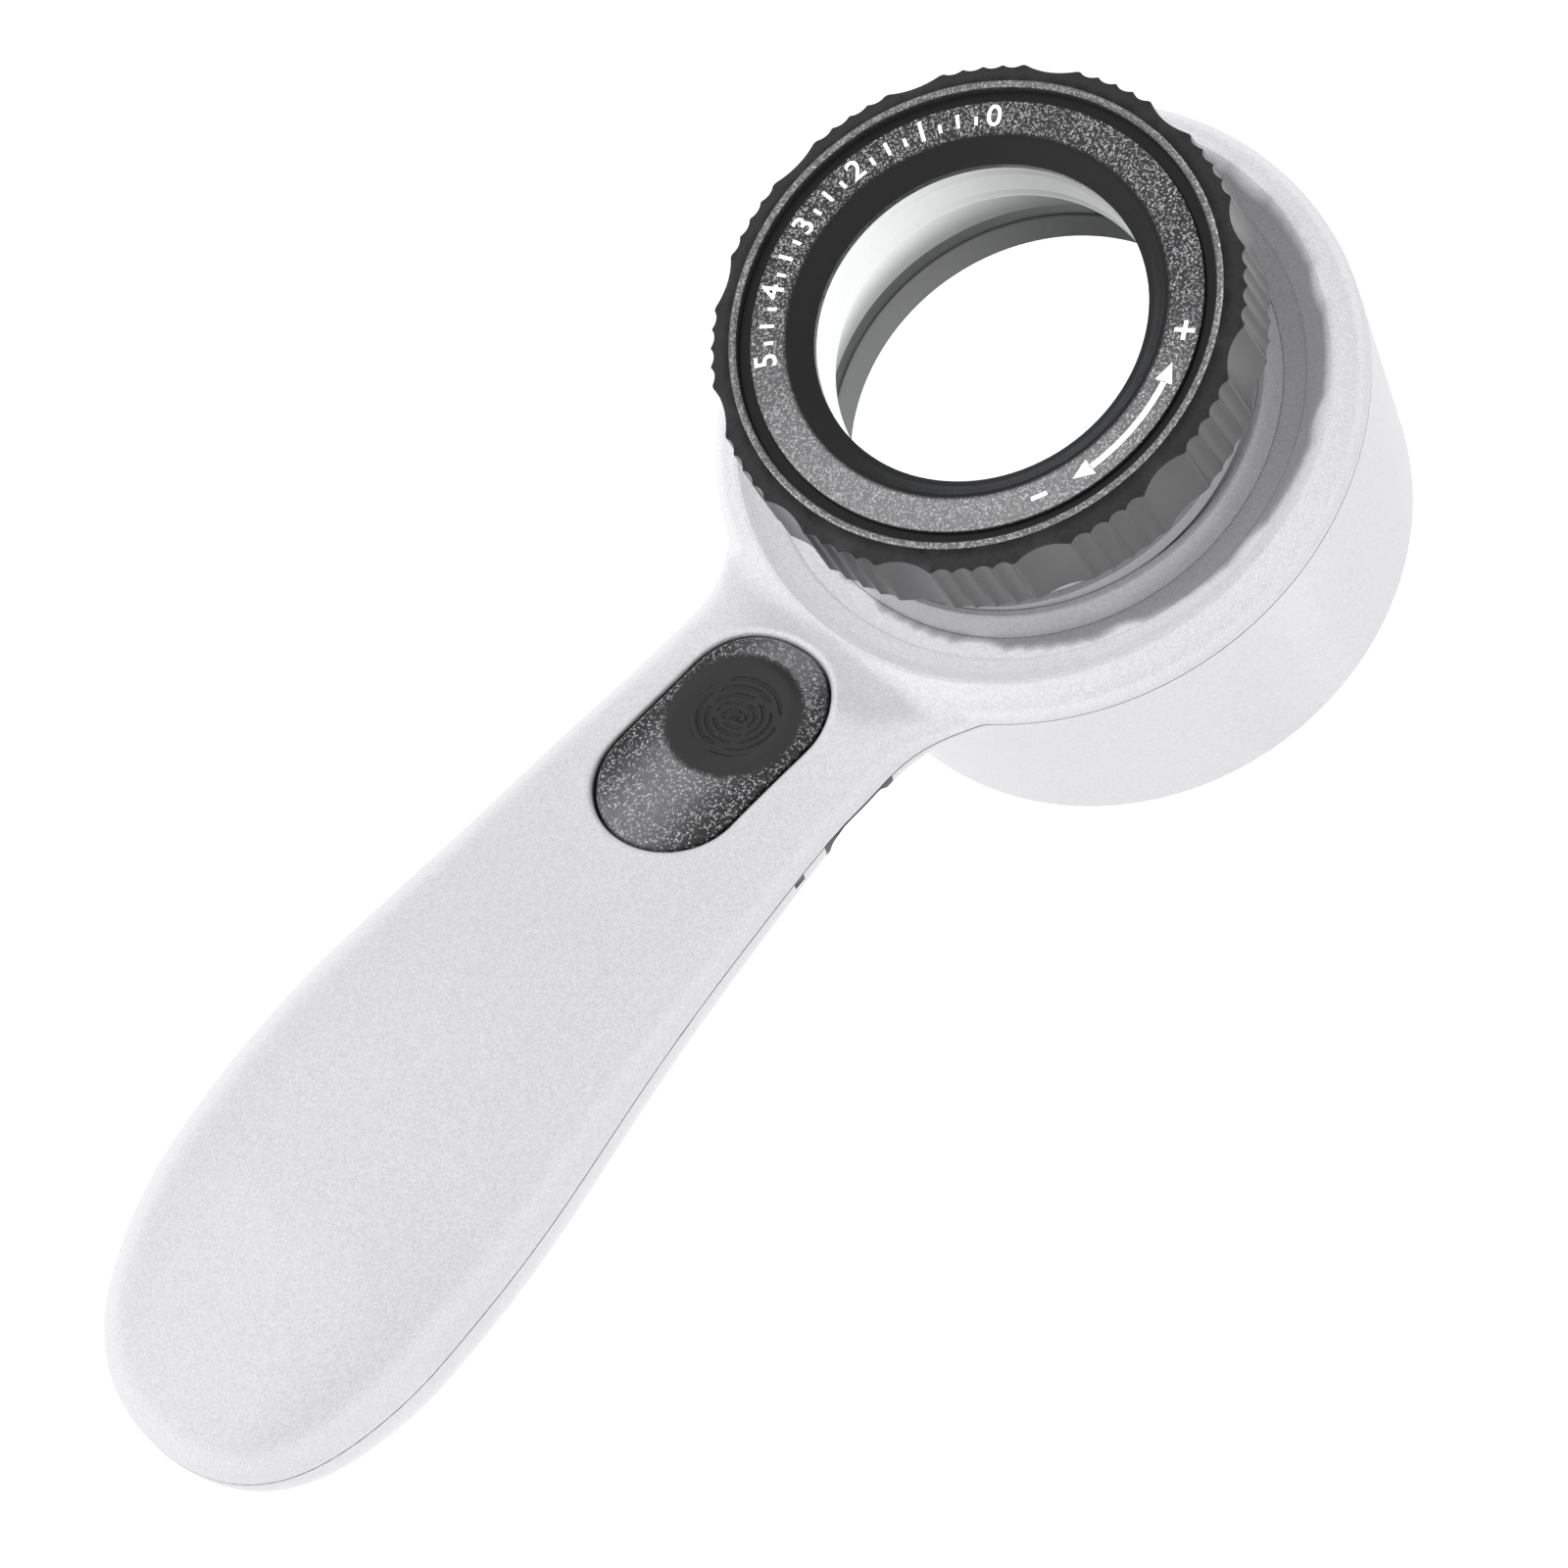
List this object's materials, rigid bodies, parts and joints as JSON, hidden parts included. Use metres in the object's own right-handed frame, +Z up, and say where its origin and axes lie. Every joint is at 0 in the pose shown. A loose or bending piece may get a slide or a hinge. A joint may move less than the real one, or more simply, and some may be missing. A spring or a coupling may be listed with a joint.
{
  "type": "illuminated hand loupe",
  "caption": "Rechargeable hand-held lit magnifier: a lens barrel that screws up and down in a round head, on a rounded handle with a thumb button.",
  "frame": {"origin": "on the optical axis, in the plane the base rests on", "axes": "+Z up the optical axis to the eye, handle along -X, charging port on the -Y side"},
  "size_m": [0.1759, 0.0704, 0.0554],
  "materials": {
    "silver_plastic": "satin silver paint with a very fine sparkle",
    "steel_screw": "plain zinc-plated steel",
    "dark_plastic": "fine matt",
    "clear_glass": "polished and coated",
    "white_plastic": "matt white",
    "frosted_plastic": "frosted",
    "circuit_board": "green solder mask",
    "lamp_chip": "yellow phosphor in a white case",
    "grey_plastic": "moulded",
    "felt": "felt",
    "black_resin": "moulded resin",
    "smoked_plastic": "dark smoked clear plastic",
    "battery_foil": "laminated foil",
    "foam": "closed-cell foam",
    "red_wire": "insulation",
    "black_wire": "insulation",
    "black_plastic": "satin black",
    "speckled_grey": "dark grey with metallic speckle",
    "silver_trim": "fine-grained satin",
    "speckled_black": "black with metallic speckle"
  },
  "bodies": {
    "housing": {"upper_shell": "silver_plastic", "lower_shell": "silver_plastic", "shell_screws": "steel_screw", "base_ring": "dark_plastic", "reticle_glass": "clear_glass", "reticle_retainer": "dark_plastic", "reflector_cone": "white_plastic", "light_diffuser": "frosted_plastic", "light_board": "circuit_board", "light_chips": "lamp_chip", "focus_collar": "grey_plastic", "guide_pins": "steel_screw", "collar_screws": "steel_screw", "friction_ring": "felt", "circuit_board": "circuit_board", "board_screws": "steel_screw", "charge_controller": "black_resin", "indicator_lamp": "lamp_chip", "battery_connector": "white_plastic", "indicator_light_pipe": "smoked_plastic", "port_bezel": "dark_plastic", "socket_shell": "steel_screw", "socket_tongue": "black_resin", "switch_body": "black_resin", "battery_cell": "battery_foil", "battery_pad": "foam", "battery_wire_red": "red_wire", "battery_wire_black": "black_wire", "light_wires": "black_wire"},
    "lens_carrier": {"lens_cell": "white_plastic", "lower_lens": "clear_glass", "upper_lens": "clear_glass", "lens_spacer": "dark_plastic", "lens_retainer": "dark_plastic"},
    "focus_ring": {"focus_barrel": "black_plastic", "barrel_end_ring": "dark_plastic", "light_funnel": "white_plastic", "grip_ring": "black_plastic", "face_ring": "speckled_grey", "trim_bead": "silver_trim"},
    "button": {"button_cap": "speckled_black"},
    "plunger": {"switch_plunger": "white_plastic"}
  },
  "joints": [
    {"name": "focus_travel", "type": "slide", "parent": "housing", "child": "lens_carrier", "axis": [0, 0, 1], "range_m": [-0.00901, 0.00101]},
    {"name": "focus_turn", "type": "hinge", "parent": "lens_carrier", "child": "focus_ring", "pos_m": [0, 0, 0.05], "axis": [0, 0, 1], "range_deg": [-324, 36]},
    {"name": "button_press", "type": "hinge", "parent": "housing", "child": "button", "pos_m": [-0.06132, 0, 0.03779], "axis": [0, 1, 0], "range_deg": [0, 1.6], "stiffness_Nm_per_rad": 0.1},
    {"name": "plunger_press", "type": "slide", "parent": "housing", "child": "plunger", "axis": [-0.1392, 0, -0.9903], "range_m": [0, 0.00045]}
  ],
  "couplings": [
    {"joint": "focus_travel", "follows": "focus_turn", "m_per_rad": 0.0015915},
    {"joint": "plunger_press", "follows": "button_press", "m_per_rad": 0.01588}
  ]
}
